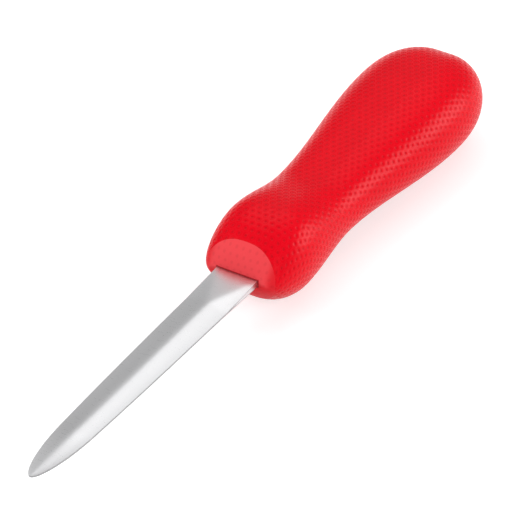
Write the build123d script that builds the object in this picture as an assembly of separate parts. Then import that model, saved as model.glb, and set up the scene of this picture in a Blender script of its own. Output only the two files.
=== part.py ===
from build123d import *

import os
from math import acos, sin

# An oyster knife: a ground spear-point blade held in a pear-shaped two-layer handle.
# The knife lies level on its side of least height. +X runs along the blade to its point,
# +Z is up, and the origin is under the middle of the knife, on the surface that it lies on.

# The blade, in millimetres
blade_reach = 101.6
blade_width = 13.1
stock_thickness = 2.0
edge_thickness = 0.5
plunge_length = 16.0
point_length = 21.4
point_width = 10.2
point_ridge = 1.5

# The tang inside the handle
tang_length = 78.0
tang_thickness = 1.8
tang_width = 9.6
tang_end_width = 7.6
tang_hole = 4.4
tang_end_round = 2.0

# The handle's outside
handle_length = 122.4
nose_width = 17.6
nose_height = 3.0
flare_width = 29.4
flare_run = 17.0
waist_width = 26.9
waist_height = 19.3
waist_run = 41.0
bulb_width = 37.5
bulb_run = 97.0
lying_height = 27.6
gate_mark = 2.8

# The hard core and the soft skin moulded over it
bare_nose = 4.9
bare_nose_width = 24.0
skin_thickness = 2.2
key_depth = 0.8
key_width = 4.0

# Shapes of the curves: 1 is a straight chamfer, 2 a round, and more than 2 is squarer
nose_plan_power = 1.95
nose_side_power = 1.65
butt_power = 2.35

# Places as shares of the stretch that they lie on
crest_flat_share = 0.2
section_pull_share = 0.58
nose_station_shares = (0, 0.03, 0.09, 0.20, 0.36, 0.57, 0.80)
body_station_shares = (0, 0.17, 0.33, 0.50, 0.67, 0.83)
butt_stations = 9
core_start_share = 0.25
tang_hole_shares = (0.30, 0.72)
key_shares = (0.28, 0.52, 0.76)
point_pull_shares = (0.42, 0.44, 0.91)
side_bow_shares = (0.37, 0.65)

knife_length = blade_reach + handle_length
handle_front = knife_length / 2 - blade_reach
axis_height = lying_height / 2
half_stock = stock_thickness / 2
half_edge = edge_thickness / 2
shoulder_run = blade_reach - point_length
overrun = knife_length


def ease_out(share, power):
    """Rise from 0 to 1, steeply at first and level at the end."""
    return (1 - (1 - share) ** power) ** (1 / power)


def ease_both(share):
    """Rise from 0 to 1, level at both ends."""
    return share * share * (3 - 2 * share)


def half_size(run, sizes, nose_power, inset):
    """Half the handle's width or height at a run from its front, less an inset."""
    nose, flare, waist, bulb = (size / 2 - inset for size in sizes)
    butt_run = handle_length - inset
    if run < flare_run:
        return nose + (flare - nose) * ease_out(run / flare_run, nose_power)
    if run < waist_run:
        return flare + (waist - flare) * ease_both((run - flare_run) / (waist_run - flare_run))
    if run < bulb_run:
        return waist + (bulb - waist) * ease_both((run - waist_run) / (bulb_run - waist_run))
    share = (run - bulb_run) / (butt_run - bulb_run)
    return bulb * (1 - share**butt_power) ** (1 / butt_power)


def handle_section(run, inset):
    """The handle's section at a run from its front: an oval with a flat crest and underside."""
    widths = (nose_width, flare_width, waist_width, bulb_width)
    heights = (nose_height, lying_height, waist_height, lying_height)
    half_width = half_size(run, widths, nose_plan_power, inset)
    half_height = half_size(run, heights, nose_side_power, inset)
    origin = Vector(handle_front - run, 0, axis_height)
    side, top = Vector(0, half_width, 0), Vector(0, 0, half_height)
    rim_pull_share = crest_flat_share + (1 - crest_flat_share) * section_pull_share
    edges = []
    for up in (top, -top):
        for across in (side, -side):
            rim = up + across * crest_flat_share
            rim_pull = up + across * rim_pull_share
            side_pull = across + up * section_pull_share
            places = [origin + place for place in (rim, rim_pull, side_pull, across)]
            edges.append(Edge.make_bezier(*places))
        rims = [origin + up + across * crest_flat_share for across in (side, -side)]
        edges.append(Edge.make_line(*rims))
    return Face(Wire(edges))


def handle_runs(inset):
    """The runs at which the handle's sections stand, closer together towards its ends."""
    nose_runs = [flare_run * share for share in nose_station_shares]
    flare_runs = [flare_run + (waist_run - flare_run) * share for share in body_station_shares]
    waist_runs = [waist_run + (bulb_run - waist_run) * share for share in body_station_shares]
    butt_run = handle_length - inset
    last_turn = acos((gate_mark / bulb_width) ** (butt_power / 2))
    turns = [last_turn * count / butt_stations for count in range(butt_stations + 1)]
    butt_runs = [bulb_run + (butt_run - bulb_run) * sin(turn) ** (2 / butt_power) for turn in turns]
    return nose_runs + flare_runs + waist_runs + butt_runs


def handle_form(inset=0, start=0):
    """The handle's whole form from a run onwards, drawn in by an inset."""
    runs = [start] + [run for run in handle_runs(inset) if run > start]
    return loft([handle_section(run, inset) for run in runs])


def slab(start, end):
    """A block across the handle between two runs."""
    middle = handle_front - (start + end) / 2
    return Pos(middle, 0, axis_height) * Box(end - start, overrun, overrun)


def point(run, across, up):
    """A point of the blade, by its run from the handle's front towards the tip."""
    return Vector(handle_front + run, across, axis_height + up)


def edge_curves(side, up):
    """One edge of the blade's outline at a height: the curve of its point, then its bowed side."""
    root_half = blade_width / 2
    shoulder_half = point_width / 2
    pull_in, pull_run, pull_out = point_pull_shares
    bow_run, bow_rise = side_bow_shares
    side_length = shoulder_run - plunge_length
    tip_curve = Edge.make_bezier(
        point(blade_reach, 0, up),
        point(blade_reach, side * shoulder_half * pull_in, up),
        point(blade_reach - point_length * pull_run, side * shoulder_half * pull_out, up),
        point(shoulder_run, side * shoulder_half, up),
    )
    bow_half = shoulder_half + (root_half - shoulder_half) * bow_rise
    side_curve = Edge.make_bezier(
        point(shoulder_run, side * shoulder_half, up),
        point(shoulder_run - side_length * bow_run, side * bow_half, up),
        point(plunge_length, side * root_half, up),
    )
    return tip_curve, side_curve


def ground_faces(side, face):
    """The bevels that the grinding leaves on one quarter of the blade, and their run-out."""
    ridge_tip = point(blade_reach, 0, face * half_edge)
    ridge_shoulder = point(shoulder_run, 0, face * point_ridge / 2)
    ridge_end = point(plunge_length, 0, face * half_stock)
    edge_end = point(plunge_length, side * blade_width / 2, face * half_edge)
    root_corner = point(0, side * blade_width / 2, face * half_stock)
    tip_curve, side_curve = edge_curves(side, face * half_edge)
    return [
        Face.make_surface_from_curves(Edge.make_line(ridge_tip, ridge_shoulder), tip_curve),
        Face.make_surface_from_curves(Edge.make_line(ridge_shoulder, ridge_end), side_curve),
        Face(Wire.make_polygon([ridge_end, edge_end, root_corner])),
    ]


def edge_faces(side):
    """The thin wall along one edge, which grows to the stock's thickness at the handle."""
    pairs = zip(edge_curves(side, half_edge), edge_curves(side, -half_edge))
    walls = [Face.make_surface_from_curves(upper, lower) for upper, lower in pairs]
    corners = [
        point(run, side * blade_width / 2, up)
        for run, up in (
            (plunge_length, half_edge),
            (plunge_length, -half_edge),
            (0, -half_stock),
            (0, half_stock),
        )
    ]
    return walls + [Face(Wire.make_polygon(corners))]


def flat_face(face):
    """The triangle of unground stock before the handle, on one face of the blade."""
    corners = [point(0, side * blade_width / 2, face * half_stock) for side in (1, -1)]
    return Face(Wire.make_polygon([point(plunge_length, 0, face * half_stock)] + corners))


def ground_blade():
    """The blade from the handle's front to its point, as one closed shell."""
    faces = [flat_face(1), flat_face(-1)]
    for side in (1, -1):
        faces += ground_faces(side, 1) + ground_faces(side, -1) + edge_faces(side)
    root = [
        point(0, side * blade_width / 2, face * half_stock)
        for side, face in ((1, 1), (-1, 1), (-1, -1), (1, -1))
    ]
    return Solid(Shell(faces + [Face(Wire.make_polygon(root))]))


def tang():
    """The flat tang, with the holes that the core's plastic flows through."""
    plane = Plane((handle_front, 0, axis_height), x_dir=(-1, 0, 0), z_dir=(0, 0, 1))
    outline = Polygon(
        (0, tang_width / 2),
        (0, -tang_width / 2),
        (tang_length, -tang_end_width / 2),
        (tang_length, tang_end_width / 2),
        align=None,
    )
    ends = outline.vertices().sort_by(Axis.X)[-2:]
    outline = fillet(ends, tang_end_round)
    for share in tang_hole_shares:
        outline -= Pos(tang_length * share, 0) * Circle(tang_hole / 2)
    return extrude(plane * outline, tang_thickness / 2, both=True)


def bare_nose_form(form):
    """The front of the handle that the skin leaves bare, which ends in an oval curve."""
    oval = Pos(handle_front, 0, axis_height) * Ellipse(bare_nose, bare_nose_width / 2)
    return form & extrude(oval, overrun, both=True)


def core_body():
    """The core's inner form, from within the bare nose on, with grooves that key the skin."""
    start = bare_nose * core_start_share
    body = handle_form(skin_thickness, start)
    deep_body = handle_form(skin_thickness + key_depth, start)
    for share in key_shares:
        start = bare_nose + (handle_length - bare_nose) * share
        body -= slab(start, start + key_width) - deep_body
    return body


blade = ground_blade() + tang()
form = handle_form()
nose = bare_nose_form(form)
body = core_body()
handle_core = nose + body - blade
grip_skin = form - nose - body

nodes = {"blade": blade, "handle_core": handle_core, "grip_skin": grip_skin}
os.makedirs("parts", exist_ok=True)
for name, solid in nodes.items():
    export_step(solid, f"parts/{name}.step")
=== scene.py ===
from math import cos, pi, radians, sin, sqrt, tan

import bpy
import numpy as np
from mathutils import Matrix, Vector


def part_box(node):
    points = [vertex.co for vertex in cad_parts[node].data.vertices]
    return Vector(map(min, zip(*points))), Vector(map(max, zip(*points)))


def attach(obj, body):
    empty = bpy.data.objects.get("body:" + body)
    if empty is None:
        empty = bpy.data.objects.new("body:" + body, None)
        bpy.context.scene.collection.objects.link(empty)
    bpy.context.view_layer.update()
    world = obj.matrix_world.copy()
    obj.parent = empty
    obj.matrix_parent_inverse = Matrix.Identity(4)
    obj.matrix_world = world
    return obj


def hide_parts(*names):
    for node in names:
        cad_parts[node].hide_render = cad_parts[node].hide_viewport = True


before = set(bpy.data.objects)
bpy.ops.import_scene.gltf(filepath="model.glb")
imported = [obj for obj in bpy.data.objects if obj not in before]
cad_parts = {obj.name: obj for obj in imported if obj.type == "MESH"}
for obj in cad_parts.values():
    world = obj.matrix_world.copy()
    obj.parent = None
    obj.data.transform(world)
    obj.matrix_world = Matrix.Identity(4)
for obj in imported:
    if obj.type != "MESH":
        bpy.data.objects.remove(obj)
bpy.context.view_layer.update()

bl_info = {
    "name": "Oyster knife looks",
    "version": (1, 0, 0),
    "blender": (4, 5, 0),
    "location": "View3D > Sidebar > Knife",
    "description": "Dresses the oyster knife: ground blade, hard core and dimpled grip skin",
    "category": "Object",
}

MM = 0.001

# Where the knife's parts lie in the frame
HANDLE_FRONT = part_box("handle_core")[1].x
BUTT_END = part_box("grip_skin")[0].x
BLADE_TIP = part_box("blade")[1].x
BLADE_HALF_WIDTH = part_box("blade")[1].y
AXIS_HEIGHT = (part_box("blade")[0].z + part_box("blade")[1].z) / 2
HALF_STOCK = (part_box("blade")[1].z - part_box("blade")[0].z) / 2
HANDLE_LENGTH = HANDLE_FRONT - BUTT_END
BLADE_REACH = BLADE_TIP - HANDLE_FRONT

# The handle's outside: half sizes at the nose, flare, waist and bulb, and the runs they stand at
HALF_WIDTHS = [8.8 * MM, 14.7 * MM, 13.45 * MM, 18.75 * MM]
HALF_HEIGHTS = [1.5 * MM, 13.8 * MM, 9.65 * MM, 13.8 * MM]
FLARE_RUN, WAIST_RUN, BULB_RUN = 17.0 * MM, 41.0 * MM, 97.0 * MM
NOSE_PLAN_POWER, NOSE_SIDE_POWER, BUTT_POWER = 1.95, 1.65, 2.35
CREST_FLAT = 0.2
SECTION_PULL = 0.58
BARE_NOSE, BARE_NOSE_HALF_WIDTH = 4.9 * MM, 12.0 * MM
SKIN_THICKNESS = 2.2 * MM

# The blade's grinding
HALF_EDGE = 0.25 * MM
PLUNGE_LENGTH = 16.0 * MM
POINT_LENGTH = 21.4 * MM
POINT_HALF_WIDTH = 5.1 * MM
POINT_RIDGE = 0.75 * MM
POINT_PULLS = (0.42, 0.44, 0.91)
SIDE_BOW = (0.37, 0.65)
RIDGE_SHARE = 0.3      # most of the half width that the ridge's softness may take

# The blade's mesh: columns, rows of each stretch, and shares of the edge wall's height
BLADE_COLUMNS = 40
TIP_ROWS, SIDE_ROWS, ROOT_ROWS = 50, 70, 33
WALL_STEPS = (0.85, 0.7, 0.0)
WALL_MARK = 0.02 * MM
THIN_WALL, THICK_WALL = 0.3 * MM, 0.6 * MM
TANG_GAP = 0.02 * MM

# The grip's mesh, and how closely its curves are measured
GRIP_COLUMNS, GRIP_ROWS, INNER_ROWS = 240, 366, 14
QUARTER_POINTS, CREST_POINTS = 48, 9
NOSE_POINTS, BODY_POINTS, BUTT_POINTS = 1500, 3000, 4000
HALVINGS = 30

# How far the dimples keep clear of each border, and the stretch over which they fade in
SEAM_FADE = (0.45 * MM, 1.5 * MM)
FRONT_FADE = (0.4 * MM, 1.0 * MM)
BUTT_FADE = (2.4 * MM, 3.0 * MM)

# The dimples' lattice repeats at these shifts, and its cells are longer than they are wide
LATTICE_SHIFTS = (0.0, 0.5)
CELL_LENGTH = sqrt(3)

# Sharpest corners that are still shaded smooth, in degrees
BLADE_CORNER, GRIP_CORNER = 30, 50

# Lengths that count as none: for merging, for the inner skin's end, and to divide by
WELD = 0.001 * MM
SMALLEST = WELD / 9
TINY = 1e-12

# The lamps: name, turn from +X and height above the floor in degrees, half spread in degrees,
# brightness, and whether it shows in reflections
LAMP_DISTANCE = 2.5
LAMPS = (
    ("butt_overhead", 180, 62, 20, 1.17, True),
    ("overhead_fill", 180, 62, 14, 0.85, False),
    ("left_overhead", 240, 62, 14, 1.3, True),
    ("far_softbox", 210, 36, 14, 0.25, True),
    ("low_butt_softbox", 130, 12, 13, 6.6, True),
    ("right_wall", 50, 24, 20, 0.9, True),
    ("point_wall", 315, 30, 20, 0.9, True),
    ("point_fill", 315, 36, 14, 4.6, False),
    ("low_right_fill", 60, 12, 11, 5.4, False),
)
WORLD_STRENGTH = 0.3

# The floor: its side in metres, and the glow that the camera and reflections see
FLOOR_SIZE = 30
FLOOR_ROUGHNESS = 0.9
FLOOR_GLOW = 0.6

# The camera: turn and height in degrees, distance, shift right and up, and its lens
CAMERA_TURN, CAMERA_HEIGHT = 31.37, 35.95
CAMERA_DISTANCE = 1.0
CAMERA_RIGHT, CAMERA_UP = 5.18 * MM, 5.72 * MM
SENSOR_WIDTH, LENS = 36, 254.5
CLIP_START, CLIP_END = 0.1, 50


class KnifeSettings(bpy.types.PropertyGroup):
    """Sizes and colours of the knife's looks."""

    dimple_pitch: bpy.props.FloatProperty(
        name="Dimple pitch", description="Distance between neighbouring dimples of the grip",
        default=2.15 * MM, unit="LENGTH", precision=5)
    dimple_width: bpy.props.FloatProperty(
        name="Dimple width", description="Width of one dimple",
        default=1.3 * MM, unit="LENGTH", precision=5)
    dimple_depth: bpy.props.FloatProperty(
        name="Dimple depth", description="Depth of one dimple",
        default=0.18 * MM, unit="LENGTH", precision=5)
    ridge_softness: bpy.props.FloatProperty(
        name="Ridge softness", description="Radius that rounds the blade's central ridge",
        default=1.0 * MM, unit="LENGTH", precision=5)
    hollow_depth: bpy.props.FloatProperty(
        name="Hollow depth", description="How far the grinding wheel hollows each bevel",
        default=0.05 * MM, unit="LENGTH", precision=5)
    grip_color: bpy.props.FloatVectorProperty(
        name="Grip colour", description="Red of the grip skin", subtype="COLOR",
        default=(0.777, 0.002, 0.011), min=0, max=1)
    # Painted sheen: the core's red is partly lightened to stand in for the nose's highlight
    core_color_and_sheen: bpy.props.FloatVectorProperty(
        name="Core colour", description="Red of the bare nose", subtype="COLOR",
        default=(0.87, 0.058, 0.069), min=0, max=1)
    steel_color: bpy.props.FloatVectorProperty(
        name="Steel colour", description="Tint of the blade", subtype="COLOR",
        default=(0.74, 0.74, 0.75), min=0, max=1)
    floor_color: bpy.props.FloatVectorProperty(
        name="Floor colour", description="Colour of the floor", subtype="COLOR",
        default=(0.65, 0.65, 0.65), min=0, max=1)


# Curves and sections

def ease_out(share, power):
    """Rise from 0 to 1, steeply at first and level at the end."""
    return (1 - (1 - share) ** power) ** (1 / power)


def ease_both(share):
    """Rise from 0 to 1, level at both ends."""
    return share * share * (3 - 2 * share)


def bezier(turn, *pulls):
    """A curve of three or four pulls, at each turn from 0 to 1."""
    rest = 1 - turn
    if len(pulls) == 3:
        weights = (rest**2, 2 * rest * turn, turn**2)
    else:
        weights = (rest**3, 3 * rest**2 * turn, 3 * rest * turn**2, turn**3)
    return sum(weight * pull for weight, pull in zip(weights, pulls))


def half_sizes(runs, sizes, nose_power, inset):
    """Half the handle's width or height at each run from its front, less an inset."""
    nose, flare, waist, bulb = (size - inset for size in sizes)
    share = np.clip(runs / FLARE_RUN, 0, 1)
    first = nose + (flare - nose) * ease_out(share, nose_power)
    share = np.clip((runs - FLARE_RUN) / (WAIST_RUN - FLARE_RUN), 0, 1)
    second = flare + (waist - flare) * ease_both(share)
    share = np.clip((runs - WAIST_RUN) / (BULB_RUN - WAIST_RUN), 0, 1)
    third = waist + (bulb - waist) * ease_both(share)
    share = np.clip((runs - BULB_RUN) / (HANDLE_LENGTH - inset - BULB_RUN), 0, 1)
    last = bulb * (1 - share**BUTT_POWER) ** (1 / BUTT_POWER)
    return np.select([runs < FLARE_RUN, runs < WAIST_RUN, runs < BULB_RUN],
                     [first, second, third], last)


def handle_halves(runs, inset=0.0):
    """Half the handle's width and half its height at each run from its front."""
    return (half_sizes(runs, HALF_WIDTHS, NOSE_PLAN_POWER, inset),
            half_sizes(runs, HALF_HEIGHTS, NOSE_SIDE_POWER, inset))


def half_section():
    """Points of half the unit section, from the crest's middle round to the underside's."""
    flat = np.linspace(0, CREST_FLAT, CREST_POINTS, endpoint=False)
    turn = np.linspace(0, 1, QUARTER_POINTS)
    rim_pull = CREST_FLAT + (1 - CREST_FLAT) * SECTION_PULL
    across = np.concatenate([flat, bezier(turn, CREST_FLAT, rim_pull, 1, 1)])
    up = np.concatenate([np.ones_like(flat), bezier(turn, 1, 1, SECTION_PULL, 0)])
    return np.concatenate([across, across[-2::-1]]), np.concatenate([up, -up[-2::-1]])


SECTION_ACROSS, SECTION_UP = half_section()


def section_places(half_width, half_height, shares):
    """Points round a section at equal shares of its length, from the underside round to it again.

    Gives the across and up of each point, and its signed distance along the skin from the crest."""
    y, z = SECTION_ACROSS * half_width, SECTION_UP * half_height
    length = np.concatenate([[0], np.cumsum(np.hypot(np.diff(y), np.diff(z)))])
    reach = np.abs(shares) * 2 * length[-1]
    return (np.sign(shares) * np.interp(reach, length, y), np.interp(reach, length, z),
            shares * 2 * length[-1])


def section_ring(runs, shares, inset=0.0):
    """One point at each share round the handle, each on the section at its own run."""
    halves = (np.maximum(half, SMALLEST) for half in handle_halves(runs, inset))
    places = [section_places(*half) for half in zip(*halves, shares)]
    return (np.array(values) for values in zip(*places))


# Meshes

def deselect_all():
    """Clears the selection, so that the next operator acts on new geometry alone."""
    if bpy.context.object and bpy.context.object.mode != "OBJECT":
        bpy.ops.object.mode_set(mode="OBJECT")
    bpy.ops.object.select_all(action="DESELECT")


def new_grid(name, columns, rows):
    """A flat grid, whose vertices the caller puts in place row by row."""
    deselect_all()
    bpy.ops.mesh.primitive_grid_add(x_subdivisions=columns, y_subdivisions=rows, size=1)
    piece = bpy.context.object
    piece.name = name
    piece.data.name = name
    bpy.ops.object.transform_apply(location=True, rotation=True, scale=True)
    return piece


def place_vertices(piece, places):
    """Puts every vertex of a piece in place."""
    piece.data.vertices.foreach_set("co", np.asarray(places, np.float32).ravel())
    piece.data.update()


def close_mesh(piece):
    """Merges what meets and turns all faces outwards."""
    bpy.context.view_layer.objects.active = piece
    bpy.ops.object.mode_set(mode="EDIT")
    bpy.ops.mesh.select_all(action="SELECT")
    bpy.ops.mesh.remove_doubles(threshold=2 * WELD)
    bpy.ops.mesh.normals_make_consistent(inside=False)
    bpy.ops.object.mode_set(mode="OBJECT")


def apply_all(piece):
    """Applies every modifier of a piece, in order."""
    bpy.context.view_layer.objects.active = piece
    for modifier in list(piece.modifiers):
        bpy.ops.object.modifier_apply(modifier=modifier.name)


def smooth_by_angle(piece, degrees):
    """Shades a piece smooth, apart from its corners sharper than an angle."""
    deselect_all()
    bpy.context.view_layer.objects.active = piece
    piece.select_set(True)
    bpy.ops.object.shade_smooth_by_angle(angle=radians(degrees))


def join_pieces(piece, other):
    """Joins another piece's mesh into a piece."""
    deselect_all()
    other.select_set(True)
    piece.select_set(True)
    bpy.context.view_layer.objects.active = piece
    bpy.ops.object.join()


def finish_piece(piece, material, node):
    """Dresses a piece, and lets it ride and stand for its node."""
    piece.data.materials.clear()
    piece.data.materials.append(material)
    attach(piece, "root")
    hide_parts(node)


# The blade

def blade_outline():
    """Runs from the handle's front to the tip, and the blade's half width at each."""
    pull_in, pull_run, pull_out = POINT_PULLS
    bow_run, bow_rise = SIDE_BOW
    shoulder = BLADE_REACH - POINT_LENGTH
    turn = np.linspace(0, 1, TIP_ROWS)
    tip_runs = bezier(turn, BLADE_REACH, BLADE_REACH, BLADE_REACH - POINT_LENGTH * pull_run,
                      shoulder)
    tip_halves = bezier(turn, 0, POINT_HALF_WIDTH * pull_in, POINT_HALF_WIDTH * pull_out,
                        POINT_HALF_WIDTH)
    turn = np.linspace(0, 1, SIDE_ROWS)[1:]
    side_runs = bezier(turn, shoulder, shoulder - (shoulder - PLUNGE_LENGTH) * bow_run,
                       PLUNGE_LENGTH)
    bow_half = POINT_HALF_WIDTH + (BLADE_HALF_WIDTH - POINT_HALF_WIDTH) * bow_rise
    side_halves = bezier(turn, POINT_HALF_WIDTH, bow_half, BLADE_HALF_WIDTH)
    root_runs = np.linspace(PLUNGE_LENGTH, 0, ROOT_ROWS)[1:]
    root_halves = np.full(len(root_runs), BLADE_HALF_WIDTH)
    runs = np.concatenate([tip_runs, side_runs, root_runs])[::-1]
    return runs, np.concatenate([tip_halves, side_halves, root_halves])[::-1]


def edge_height(runs):
    """Half the height of the wall along the blade's edge, at each run."""
    return np.interp(runs, [0, PLUNGE_LENGTH], [HALF_STOCK, HALF_EDGE])


def blade_places(runs, halves, settings):
    """Places on the upper face: unground stock, soft ridge and hollow bevels."""
    ridge = np.interp(runs, [0, PLUNGE_LENGTH, BLADE_REACH - POINT_LENGTH, BLADE_REACH],
                      [HALF_STOCK, HALF_STOCK, POINT_RIDGE, HALF_EDGE])[:, None]
    edge = edge_height(runs)[:, None]
    half = halves[:, None]
    flat = half * np.clip(1 - runs / PLUNGE_LENGTH, 0, 1)[:, None]
    across = np.sin(np.linspace(-pi / 2, pi / 2, BLADE_COLUMNS + 1)) * half
    soft = np.minimum(settings.ridge_softness, half * RIDGE_SHARE)

    def fall(distance):
        return (np.hypot(distance - flat, soft) + np.hypot(distance + flat, soft)) / 2

    middle, rim = fall(0 * half), fall(half)
    share = (fall(np.abs(across)) - middle) / np.maximum(rim - middle, TINY)
    hollow = settings.hollow_depth * 4 * share * (1 - share) * (1 - flat / BLADE_HALF_WIDTH)
    up = ridge + (edge - ridge) * share - hollow * half / BLADE_HALF_WIDTH
    along = np.broadcast_to((HANDLE_FRONT + runs)[:, None], across.shape)
    return np.stack([along, across, up], -1)


def mark_painted_edge_shade(piece):
    """Marks the thin wall along the edge, and the upper line of its thick end, where the steel gets
    its painted shade.
    """
    places = np.zeros(len(piece.data.vertices) * 3, np.float32)
    piece.data.vertices.foreach_get("co", places)
    x, y, z = places.reshape(-1, 3).T
    runs, halves = blade_outline()
    height = edge_height(x - HANDLE_FRONT)
    on_wall = np.abs(y) > np.interp(x - HANDLE_FRONT, runs, halves) - WALL_MARK
    thin = 1 - ease_both(np.clip((height - THIN_WALL) / (THICK_WALL - THIN_WALL), 0, 1))
    first_step, second_step, _ = WALL_STEPS
    level = np.abs(z - AXIS_HEIGHT) / height
    line = np.clip((level - second_step) / (first_step - second_step), 0, 1)
    wall = piece.data.attributes.new("painted_edge_shade", "FLOAT", "POINT")
    wall.data.foreach_set("value", (on_wall * np.maximum(thin, line)).astype(np.float32))


def tang_piece():
    """The hidden tang, cut from the solid blade at the handle's front and closed."""
    deselect_all()
    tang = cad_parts["blade"].copy()
    tang.data = tang.data.copy()
    bpy.context.scene.collection.objects.link(tang)
    bpy.context.view_layer.objects.active = tang
    tang.hide_set(False)
    tang.hide_render = False
    tang.select_set(True)
    bpy.ops.object.mode_set(mode="EDIT")
    bpy.ops.mesh.select_all(action="SELECT")
    bpy.ops.mesh.remove_doubles(threshold=WELD)
    bpy.ops.mesh.select_all(action="SELECT")
    bpy.ops.mesh.bisect(plane_co=(HANDLE_FRONT - TANG_GAP, 0, 0), plane_no=(1, 0, 0),
                        use_fill=True, clear_outer=True, threshold=WELD)
    bpy.ops.mesh.select_all(action="SELECT")
    bpy.ops.mesh.normals_make_consistent(inside=False)
    bpy.ops.object.mode_set(mode="OBJECT")
    return tang


# The grip skin

def nose_line(across):
    """Run of the line where the skin begins, at a distance across the handle."""
    share = np.clip(np.abs(across) / BARE_NOSE_HALF_WIDTH, 0, 1)
    return BARE_NOSE * np.sqrt(1 - share * share)


def skin_line():
    """Runs along the handle, closely spaced, and the length along its skin to each."""
    turns = np.linspace(0, pi / 2, BUTT_POINTS)[1:]
    runs = np.concatenate([
        FLARE_RUN * np.linspace(0, 1, NOSE_POINTS) ** 2,
        np.linspace(FLARE_RUN, BULB_RUN, BODY_POINTS)[1:],
        BULB_RUN + (HANDLE_LENGTH - BULB_RUN) * np.sin(turns) ** (2 / BUTT_POWER)])
    mean = sum(handle_halves(runs)) / 2
    lengths = np.cumsum(np.hypot(np.diff(runs), np.diff(mean)))
    return runs, np.concatenate([[0], lengths])


def front_runs(shares):
    """The run at which the skin begins, at each share round the handle."""
    low, high = np.zeros_like(shares), np.full_like(shares, BARE_NOSE)
    for _ in range(HALVINGS):
        middle = (low + high) / 2
        y, _, _ = section_ring(middle, shares)
        bare = middle < nose_line(y)
        low, high = np.where(bare, middle, low), np.where(bare, high, middle)
    return (low + high) / 2


def outer_skin(shares):
    """The skin's outside, row by row from its front line, with its place on the lattice."""
    line_runs, line_lengths = skin_line()
    front = np.interp(front_runs(shares), line_runs, line_lengths)
    join, end = np.interp(FLARE_RUN, line_runs, line_lengths), line_lengths[-1]
    front_rows = round(GRIP_ROWS * (join - front.mean()) / (end - front.mean()))
    outer, lattice = [], []
    for row in range(GRIP_ROWS + 1):
        if row < front_rows:
            lengths = front + (join - front) * row / front_rows
            runs = np.interp(lengths, line_lengths, line_runs)
            y, z, girth = section_ring(runs, shares)
        else:
            share = (row - front_rows) / (GRIP_ROWS - front_rows)
            lengths = np.full_like(shares, join + (end - join) * share)
            runs = np.interp(lengths, line_lengths, line_runs)
            if row == GRIP_ROWS:
                runs[:] = HANDLE_LENGTH
            half_width, half_height = handle_halves(runs[:1])
            y, z, girth = section_places(half_width, half_height, shares)
        outer.append(np.stack([HANDLE_FRONT - runs, y, z], -1))
        lattice.append(np.stack([lengths, girth], -1))
    return np.array(outer), np.array(lattice)


def inner_skin(shares, front_row):
    """The skin's inside, row by row from the butt to its front line."""
    front = HANDLE_FRONT - front_row[:, 0]
    butt = HANDLE_LENGTH - SKIN_THICKNESS
    inner = []
    for share in np.linspace(0, 1, INNER_ROWS):
        runs = butt + (front - butt) * share
        y, z, _ = section_ring(runs, shares, SKIN_THICKNESS)
        inner.append(np.stack([HANDLE_FRONT - runs, y, z], -1))
    return np.array(inner)


def past_whole(values):
    """How far each value lies past the nearest whole number."""
    return values - np.round(values)


def dimple_depths(lattice, settings):
    """How deep each point of the skin lies in a dimple, from 0 to 1.

    Dimples fade out at the front line, at the butt's pole and along the seam underneath."""
    u = lattice[..., 0] / (settings.dimple_pitch * CELL_LENGTH)
    v = lattice[..., 1] / settings.dimple_pitch
    distance = np.minimum(*(np.hypot(past_whole(u + shift) * CELL_LENGTH, past_whole(v + shift))
                            for shift in LATTICE_SHIFTS))
    radius = settings.dimple_width / settings.dimple_pitch / 2
    dimple = 0.5 + 0.5 * np.cos(pi * np.clip(distance / radius, 0, 1))
    seam_gap = np.abs(lattice[:, :1, 1]) - np.abs(lattice[..., 1])
    front_gap = lattice[..., 0] - lattice[:1, :, 0]
    butt_gap = lattice[-1, 0, 0] - lattice[..., 0]
    gaps = ((seam_gap, SEAM_FADE), (front_gap, FRONT_FADE), (butt_gap, BUTT_FADE))
    for gap, (clear, fade) in gaps:
        dimple = dimple * ease_both(np.clip((gap - clear) / fade, 0, 1))
    return dimple


def outward_normals(places):
    """Normals of a closed ring of columns, for each row from the front to the butt."""
    ring_step = np.roll(places[:, :-1], -1, 1) - np.roll(places[:, :-1], 1, 1)
    ring_step = np.concatenate([ring_step, ring_step[:, :1]], 1)
    normal = np.cross(np.gradient(places, axis=0), ring_step)
    normal /= np.maximum(np.linalg.norm(normal, axis=-1, keepdims=True), TINY)
    normal *= np.sign((normal[..., 1:] * places[..., 1:]).sum(-1).mean())
    normal[-1] = (-1, 0, 0)
    return normal


def set_lattice(piece, lattice, settings):
    """Gives each corner of the grip's faces its place on the dimples' lattice."""
    table = lattice / (settings.dimple_pitch * np.array([CELL_LENGTH, 1]))
    table = np.concatenate([np.zeros((INNER_ROWS, GRIP_COLUMNS + 1, 2)), table])
    corners = np.zeros(len(piece.data.loops), np.int32)
    piece.data.loops.foreach_get("vertex_index", corners)
    layer = piece.data.uv_layers[0]
    layer.name = "Lattice"
    layer.data.foreach_set("uv", table.reshape(-1, 2)[corners].astype(np.float32).ravel())


# Shader parts

# The noises: scale of the grip's grain and of its slow patches, and each one's detail and roughness
GRIP_GRAIN, BROAD_GRAIN = 4000.0, 90.0
FINE_DETAIL, BROAD_DETAIL = (3.0, 0.55), (2.0, 0.5)

# A dimple's floor, the middle of the ring round it and the ring's reach, as shares of its radius
DIMPLE_FLOOR, RING_PLACE, RING_REACH = 0.25, 1.1, 0.35


def new_material(name):
    """A material with a Principled BSDF, its node tree and the shader node."""
    material = bpy.data.materials.new(name)
    material.use_nodes = True
    return material, material.node_tree, material.node_tree.nodes["Principled BSDF"]


def set_inputs(tree, node, inputs):
    """Sets a node's inputs by name or place: a value, or a socket to link."""
    for key, value in inputs.items():
        if isinstance(value, bpy.types.NodeSocket):
            tree.links.new(value, node.inputs[key])
        else:
            node.inputs[key].default_value = value


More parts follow.
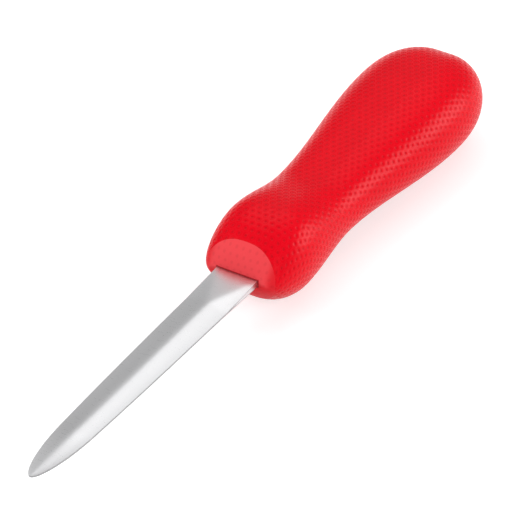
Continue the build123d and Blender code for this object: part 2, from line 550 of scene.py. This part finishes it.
def add_node(tree, kind, inputs=None, **settings):
    """A node with its settings and its inputs."""
    node = tree.nodes.new(kind)
    for key, value in settings.items():
        setattr(node, key, value)
    set_inputs(tree, node, inputs or {})
    return node


def math_node(tree, operation, *values):
    """A Math node's result from values or sockets."""
    node = add_node(tree, "ShaderNodeMath", dict(enumerate(values)), operation=operation)
    return node.outputs[0]


def noise(tree, place, scale, detail, roughness):
    """A noise's value at a place, from about 0 to 1."""
    node = add_node(tree, "ShaderNodeTexNoise", {
        "Vector": place, "Scale": scale, "Detail": detail, "Roughness": roughness})
    return node.outputs["Fac"]


def ramp(tree, value, start, end, low, high, interpolation="LINEAR"):
    """A value's stretch from start to end, brought to the stretch from low to high."""
    node = add_node(tree, "ShaderNodeMapRange", {
        "Value": value, "From Min": start, "From Max": end, "To Min": low, "To Max": high},
        interpolation_type=interpolation)
    return node.outputs["Result"]


def blend(tree, factor, first, second):
    """A colour between two others, each a value or a socket."""
    node = add_node(tree, "ShaderNodeMix", {"Factor": factor, "A": first, "B": second},
                    data_type="RGBA")
    return node.outputs["Result"]


def bump(tree, height, strength, distance):
    """A normal that a height bends."""
    node = add_node(tree, "ShaderNodeBump", {
        "Height": height, "Strength": strength, "Distance": distance})
    return node.outputs["Normal"]


def shade(color, share=1.0):
    """A colour, lightened or darkened, with full opacity."""
    return (*(Vector(color) * share), 1)


def patchy(tree, variation, color, spread):
    """A colour that varies by a spread to both sides."""
    return blend(tree, variation, shade(color, 1 - spread), shade(color, 1 + spread))


def new_group(name, inputs, outputs):
    """An empty shader node group with named sockets, its input node and its output node."""
    group = bpy.data.node_groups.new(name, "ShaderNodeTree")
    for socket, kind, value in inputs:
        made = group.interface.new_socket(socket, in_out="INPUT", socket_type=kind)
        if value is not None:
            made.default_value = value
    for socket in outputs:
        group.interface.new_socket(socket, in_out="OUTPUT", socket_type="NodeSocketFloat")
    return group, group.nodes.new("NodeGroupInput"), group.nodes.new("NodeGroupOutput")


def grain_group():
    """Fine moulded grain: a height and a slow variation, both from about 0 to 1."""
    if "Moulded grain" in bpy.data.node_groups:
        return bpy.data.node_groups["Moulded grain"]
    group, given, result = new_group(
        "Moulded grain",
        [("Vector", "NodeSocketVector", None), ("Fine scale", "NodeSocketFloat", GRIP_GRAIN),
         ("Broad scale", "NodeSocketFloat", BROAD_GRAIN)],
        ["Height", "Variation"])
    place = given.outputs["Vector"]
    set_inputs(group, result, {
        "Height": noise(group, place, given.outputs["Fine scale"], *FINE_DETAIL),
        "Variation": noise(group, place, given.outputs["Broad scale"], *BROAD_DETAIL)})
    return group


def dimple_group():
    """Dimples on a triangular lattice: one inside a dimple, zero between them, and its ring."""
    if "Dimple lattice" in bpy.data.node_groups:
        return bpy.data.node_groups["Dimple lattice"]
    group, given, result = new_group(
        "Dimple lattice",
        [("Vector", "NodeSocketVector", None), ("Width", "NodeSocketFloat", 1.0)],
        ["Dimple", "Ring"])
    split = add_node(group, "ShaderNodeSeparateXYZ", {0: given.outputs["Vector"]})
    distances = []
    for shift in LATTICE_SHIFTS:
        squares = []
        for axis, length in (("X", CELL_LENGTH), ("Y", 1.0)):
            moved = math_node(group, "ADD", split.outputs[axis], shift)
            past = math_node(group, "SUBTRACT", moved, math_node(group, "ROUND", moved))
            past = math_node(group, "MULTIPLY", past, length)
            squares.append(math_node(group, "MULTIPLY", past, past))
        distances.append(math_node(group, "SQRT", math_node(group, "ADD", *squares)))
    half = math_node(group, "MULTIPLY", given.outputs["Width"], 0.5)
    share = math_node(group, "DIVIDE", math_node(group, "MINIMUM", *distances), half)
    off_ring = math_node(group, "ABSOLUTE", math_node(group, "SUBTRACT", share, RING_PLACE))
    set_inputs(group, result, {
        "Dimple": ramp(group, share, DIMPLE_FLOOR, 1.0, 1.0, 0.0, "SMOOTHSTEP"),
        "Ring": ramp(group, off_ring, 0.0, RING_REACH, 1.0, 0.0, "SMOOTHSTEP")})
    return group


def dimple_node(tree, pattern, settings):
    """The dimples' lattice at a place given in its own cells."""
    return add_node(tree, "ShaderNodeGroup", {
        "Vector": pattern, "Width": settings.dimple_width / settings.dimple_pitch},
        node_tree=dimple_group())


# Materials

# The noises' middle values, between which nearly all of them lie
NOISE_LOW, NOISE_HIGH = 0.3, 0.7

# The steel: lines across the blade and slow patches, and painted shade along the thin edge wall
GRIND_STRETCH, GRIND_DETAIL = (9000.0, 260.0, 260.0), (4.0, 0.6)
PATCH_SCALE = 60.0
STEEL_SPREAD = 0.03
EDGE_SHADE_COVER, EDGE_SHADE = 0.75, 0.25
STEEL_ROUGHNESS = (0.27, 0.31)
STEEL_BUMP = (0.15, 0.003 * MM)

# The core: its pale red partly a painted sheen, which gives way to painted shade in a deeper red
# towards its sides and underside; painted shade at the joint round the blade and in its faint
# dimples
CORE_GRAIN = 2600.0
CORE_SPREAD = 0.06
JOINT_STRETCH, JOINT_SHADE_COVER = (0.25 * MM, 0.55 * MM), 0.8
SIDE_STRETCH, SIDE_SHADE_COVER = (8.0 * MM, 10.8 * MM), 0.9
UNDER_STRETCH, UNDER_SHADE_COVER = (-1.0 * MM, 1.2 * MM), 0.95
CORE_DIMPLE_SHADE_COVER = 0.12
JOINT_SHADE, JOINT_GREEN, JOINT_BLUE = 0.3, 0.001, 0.004
CORE_ROUGHNESS = (0.46, 0.58)
CORE_BUMP, CORE_GRAIN_HEIGHT = (0.3, 0.05 * MM), 0.3
CORE_SPECULAR = 0.2

# The grip: painted shade inside the dimples, and a little glossier on their rings
GRIP_SPREAD = 0.07
GRIP_DIMPLE_SHADE_COVER, GRIP_DIMPLE_SHADE = 0.4, 0.55
GRIP_ROUGHNESS, GRIP_GRAIN_ROUGHNESS = 0.22, 0.14
DIMPLE_ROUGHNESS, RING_ROUGHNESS = 0.15, -0.06
GRIP_BUMP, GRIP_GRAIN_HEIGHT = (0.5, 0.06 * MM), 0.12
GRIP_SPECULAR = 0.08


def steel_material(settings):
    """Satin ground stainless steel: fine grinding lines across the blade, uneven sheen, and painted
    shade along the thin edge wall.
    """
    material, tree, shader = new_material("Satin ground steel")
    place = add_node(tree, "ShaderNodeTexCoord").outputs["Object"]
    lines = add_node(tree, "ShaderNodeMapping", {"Vector": place, "Scale": GRIND_STRETCH})
    grind = noise(tree, lines.outputs[0], 1.0, *GRIND_DETAIL)
    patches = noise(tree, place, PATCH_SCALE, *BROAD_DETAIL)
    tint = patchy(tree, patches, settings.steel_color, STEEL_SPREAD)
    # Painted shade: the thin edge wall and a line along its top are made darker in the colour
    wall = add_node(tree, "ShaderNodeAttribute", attribute_name="painted_edge_shade")
    shade_cover = math_node(tree, "MULTIPLY", wall.outputs["Fac"], EDGE_SHADE_COVER)
    set_inputs(tree, shader, {
        "Base Color": blend(tree, shade_cover, tint, shade(settings.steel_color, EDGE_SHADE)),
        "Roughness": ramp(tree, grind, NOISE_LOW, NOISE_HIGH, *STEEL_ROUGHNESS),
        "Normal": bump(tree, grind, *STEEL_BUMP),
        "Metallic": 1.0})
    return material


def core_material(settings):
    """Smooth matte moulded plastic: paler on top as a painted sheen, painted shade towards the
    sides and underside, faint dimples with painted shade, and painted shade at the joint round the
    blade.
    """
    material, tree, shader = new_material("Smooth matte red plastic")
    place = add_node(tree, "ShaderNodeTexCoord").outputs["Object"]
    grain = add_node(tree, "ShaderNodeGroup", {"Vector": place, "Fine scale": CORE_GRAIN},
                     node_tree=grain_group())
    tint = patchy(tree, grain.outputs["Variation"], settings.core_color_and_sheen, CORE_SPREAD)

    split = add_node(tree, "ShaderNodeSeparateXYZ", {0: place})
    side = math_node(tree, "ABSOLUTE", split.outputs["Y"])
    below = math_node(tree, "SUBTRACT", AXIS_HEIGHT, split.outputs["Z"])
    level = math_node(tree, "ABSOLUTE", below)
    # Painted sheen and shade: the pale core colour gives way to the grip's deeper red towards the
    # sides and underside
    side_shade = ramp(tree, side, *SIDE_STRETCH, 0.0, SIDE_SHADE_COVER, "SMOOTHSTEP")
    underside_shade = ramp(tree, below, *UNDER_STRETCH, 0.0, UNDER_SHADE_COVER, "SMOOTHSTEP")
    deep = blend(tree, math_node(tree, "MAXIMUM", side_shade, underside_shade), tint,
                 shade(settings.grip_color))

    # Painted shade in the joint round the blade, where the core meets it
    gap = math_node(tree, "MAXIMUM", math_node(tree, "SUBTRACT", side, BLADE_HALF_WIDTH),
                    math_node(tree, "SUBTRACT", level, HALF_STOCK))
    joint = ramp(tree, gap, *JOINT_STRETCH, JOINT_SHADE_COVER, 0.0, "SMOOTHSTEP")
    pitch = settings.dimple_pitch
    pattern = add_node(tree, "ShaderNodeCombineXYZ", {
        "X": math_node(tree, "MULTIPLY", level, 1 / (pitch * CELL_LENGTH)),
        "Y": math_node(tree, "MULTIPLY", split.outputs["Y"], 1 / pitch)})
    dimple = dimple_node(tree, pattern.outputs[0], settings).outputs["Dimple"]
    # Painted shade: the joint and the faint dimples are made darker in the colour
    dark = math_node(tree, "MAXIMUM", joint,
                     math_node(tree, "MULTIPLY", dimple, CORE_DIMPLE_SHADE_COVER))
    painted_shade_color = (settings.core_color_and_sheen[0] * JOINT_SHADE, JOINT_GREEN, JOINT_BLUE, 1)

    height = math_node(tree, "MULTIPLY", dimple, -1.0)
    height = math_node(tree, "MULTIPLY_ADD", grain.outputs["Height"], CORE_GRAIN_HEIGHT, height)
    set_inputs(tree, shader, {
        "Base Color": blend(tree, dark, deep, painted_shade_color),
        "Roughness": ramp(tree, grain.outputs["Height"], NOISE_LOW, NOISE_HIGH, *CORE_ROUGHNESS),
        "Normal": bump(tree, height, *CORE_BUMP),
        "Specular IOR Level": CORE_SPECULAR})
    return material


def grip_material(settings):
    """Soft red elastomer, duller inside its dimples, with painted shade there."""
    material, tree, shader = new_material("Dimpled red elastomer")
    place = add_node(tree, "ShaderNodeTexCoord").outputs["Object"]
    grain = add_node(tree, "ShaderNodeGroup", {"Vector": place}, node_tree=grain_group())
    pattern = add_node(tree, "ShaderNodeUVMap", uv_map="Lattice")
    lattice = dimple_node(tree, pattern.outputs["UV"], settings)
    dimple, ring = lattice.outputs["Dimple"], lattice.outputs["Ring"]
    tint = patchy(tree, grain.outputs["Variation"], settings.grip_color, GRIP_SPREAD)
    # Painted shade: the dimples are made darker in the colour
    shade_cover = math_node(tree, "MULTIPLY", dimple, GRIP_DIMPLE_SHADE_COVER)

    rough = math_node(tree, "MULTIPLY_ADD", grain.outputs["Height"], GRIP_GRAIN_ROUGHNESS,
                      GRIP_ROUGHNESS)
    rough = math_node(tree, "MULTIPLY_ADD", dimple, DIMPLE_ROUGHNESS, rough)
    rough = math_node(tree, "MULTIPLY_ADD", ring, RING_ROUGHNESS, rough)
    height = math_node(tree, "MULTIPLY", dimple, -1.0)
    height = math_node(tree, "MULTIPLY_ADD", grain.outputs["Height"], GRIP_GRAIN_HEIGHT, height)
    set_inputs(tree, shader, {
        "Base Color": blend(tree, shade_cover, tint, shade(settings.grip_color, GRIP_DIMPLE_SHADE)),
        "Roughness": rough,
        "Normal": bump(tree, height, *GRIP_BUMP),
        "Specular IOR Level": GRIP_SPECULAR})
    return material


def floor_material(settings):
    """White to the camera and in reflections, plain pale otherwise, with the soft shadow kept."""
    material, tree, shader = new_material("Pale floor")
    set_inputs(tree, shader, {
        "Base Color": shade(settings.floor_color), "Roughness": FLOOR_ROUGHNESS})
    path = add_node(tree, "ShaderNodeLightPath")
    seen = math_node(tree, "MAXIMUM", path.outputs["Is Camera Ray"], path.outputs["Is Glossy Ray"])
    seen = math_node(tree, "MAXIMUM", seen, path.outputs["Is Transmission Ray"])
    glow = add_node(tree, "ShaderNodeEmission", {
        "Color": (1, 1, 1, 1), "Strength": math_node(tree, "MULTIPLY", seen, FLOOR_GLOW)})
    both = add_node(tree, "ShaderNodeAddShader", {0: shader.outputs[0], 1: glow.outputs[0]})
    set_inputs(tree, tree.nodes["Material Output"], {"Surface": both.outputs[0]})
    return material


# The stage

def direction(turn, height):
    """A unit vector, by its turn from +X and its height above the floor in degrees."""
    turn, height = radians(turn), radians(height)
    return Vector((cos(height) * cos(turn), cos(height) * sin(turn), sin(height)))


def add_lamp(name, turn, height, spread, brightness, mirrored):
    """A square soft lamp that faces the handle's front."""
    way = direction(turn, height)
    light = bpy.data.lights.new(name, "AREA")
    light.shape = "SQUARE"
    light.size = 2 * LAMP_DISTANCE * tan(radians(spread))
    light.energy = brightness * pi * light.size**2
    lamp = bpy.data.objects.new(name, light)
    bpy.context.scene.collection.objects.link(lamp)
    lamp.visible_glossy = mirrored
    lamp.location = Vector((HANDLE_FRONT, 0, AXIS_HEIGHT)) + way * LAMP_DISTANCE
    lamp.rotation_euler = (-way).to_track_quat("-Z", "Y").to_euler()


def add_camera():
    """The scene's camera, at the photograph's viewing angle."""
    back = direction(CAMERA_TURN, CAMERA_HEIGHT)
    right = direction(CAMERA_TURN + 90, 0)
    up = back.cross(right)
    data = bpy.data.cameras.new("camera")
    data.sensor_width = SENSOR_WIDTH
    data.lens = LENS
    data.clip_start, data.clip_end = CLIP_START, CLIP_END
    camera = bpy.data.objects.new("camera", data)
    bpy.context.scene.collection.objects.link(camera)
    camera.location = (Vector((HANDLE_FRONT, 0, AXIS_HEIGHT)) + back * CAMERA_DISTANCE
                       + right * CAMERA_RIGHT + up * CAMERA_UP)
    camera.rotation_euler = Matrix((right, up, back)).transposed().to_euler()
    bpy.context.scene.camera = camera


# Operators

class KNIFE_OT_stage(bpy.types.Operator):
    """Set the floor, the soft lamps, the world and the camera"""

    bl_idname = "knife.stage"
    bl_label = "Stage"

    def execute(self, context):
        deselect_all()
        bpy.ops.mesh.primitive_plane_add(size=FLOOR_SIZE)
        floor = bpy.context.object
        floor.name = "floor"
        floor.data.materials.append(floor_material(context.scene.knife))

        world = bpy.data.worlds.new("Studio")
        context.scene.world = world
        world.use_nodes = True
        set_inputs(world.node_tree, world.node_tree.nodes["Background"], {
            "Color": (1, 1, 1, 1), "Strength": WORLD_STRENGTH})
        for lamp in LAMPS:
            add_lamp(*lamp)
        add_camera()
        context.scene.view_settings.view_transform = "Standard"
        return {"FINISHED"}


class KNIFE_OT_blade(bpy.types.Operator):
    """Model the ground blade with its soft ridge, and its tang"""

    bl_idname = "knife.blade"
    bl_label = "Blade"

    def execute(self, context):
        settings = context.scene.knife
        runs, halves = blade_outline()
        piece = new_grid("ground_blade", BLADE_COLUMNS, len(runs) - 1)
        place_vertices(piece, blade_places(runs, halves, settings))
        bpy.ops.object.mode_set(mode="EDIT")
        bpy.ops.mesh.select_all(action="SELECT")
        bpy.ops.mesh.region_to_loop()
        for share, last in zip(WALL_STEPS, (1, *WALL_STEPS)):
            bpy.ops.mesh.extrude_edges_move()
            bpy.ops.transform.resize(value=(1, 1, share / last), center_override=(0, 0, 0))
        bpy.ops.object.mode_set(mode="OBJECT")
        mirror = piece.modifiers.new("Lower face", "MIRROR")
        mirror.use_axis = (False, False, True)
        mirror.use_clip = True
        mirror.merge_threshold = WELD
        apply_all(piece)
        piece.data.transform(Matrix.Translation((0, 0, AXIS_HEIGHT)))
        close_mesh(piece)
        mark_painted_edge_shade(piece)
        smooth_by_angle(piece, BLADE_CORNER)
        join_pieces(piece, tang_piece())
        finish_piece(piece, steel_material(settings), "blade")
        return {"FINISHED"}


class KNIFE_OT_core(bpy.types.Operator):
    """Give the hard core its smooth matte plastic"""

    bl_idname = "knife.core"
    bl_label = "Core"

    def execute(self, context):
        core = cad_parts["handle_core"]
        core.data.materials.clear()
        core.data.materials.append(core_material(context.scene.knife))
        return {"FINISHED"}


class KNIFE_OT_grip(bpy.types.Operator):
    """Model the grip skin with its dimples"""

    bl_idname = "knife.grip"
    bl_label = "Grip skin"

    def execute(self, context):
        settings = context.scene.knife
        piece = new_grid("dimpled_grip", GRIP_COLUMNS, GRIP_ROWS + INNER_ROWS)
        shares = np.linspace(-0.5, 0.5, GRIP_COLUMNS + 1)
        outer, lattice = outer_skin(shares)
        depths = dimple_depths(lattice, settings) * settings.dimple_depth
        outer = outer - outward_normals(outer) * depths[..., None]
        places = np.concatenate([inner_skin(shares, outer[0]), outer])
        places[..., 2] += AXIS_HEIGHT
        place_vertices(piece, places)
        set_lattice(piece, lattice, settings)
        close_mesh(piece)
        smooth_by_angle(piece, GRIP_CORNER)
        finish_piece(piece, grip_material(settings), "grip_skin")
        return {"FINISHED"}


class KNIFE_PT_panel(bpy.types.Panel):
    """Lists the steps that dress the knife"""

    bl_label = "Oyster knife"
    bl_idname = "KNIFE_PT_panel"
    bl_space_type = "VIEW_3D"
    bl_region_type = "UI"
    bl_category = "Knife"

    def draw(self, context):
        for step in STEPS:
            self.layout.operator(step.bl_idname)
        for name in KnifeSettings.__annotations__:
            self.layout.prop(context.scene.knife, name)


STEPS = (KNIFE_OT_stage, KNIFE_OT_blade, KNIFE_OT_core, KNIFE_OT_grip)
CLASSES = (KnifeSettings, *STEPS, KNIFE_PT_panel)


def register():
    for kind in CLASSES:
        bpy.utils.register_class(kind)
    bpy.types.Scene.knife = bpy.props.PointerProperty(type=KnifeSettings)


def unregister():
    del bpy.types.Scene.knife
    for kind in reversed(CLASSES):
        bpy.utils.unregister_class(kind)


def main():
    """Runs every step in order."""
    register()
    bpy.ops.knife.stage()
    bpy.ops.knife.blade()
    bpy.ops.knife.core()
    bpy.ops.knife.grip()


if __name__ == "__main__":
    main()
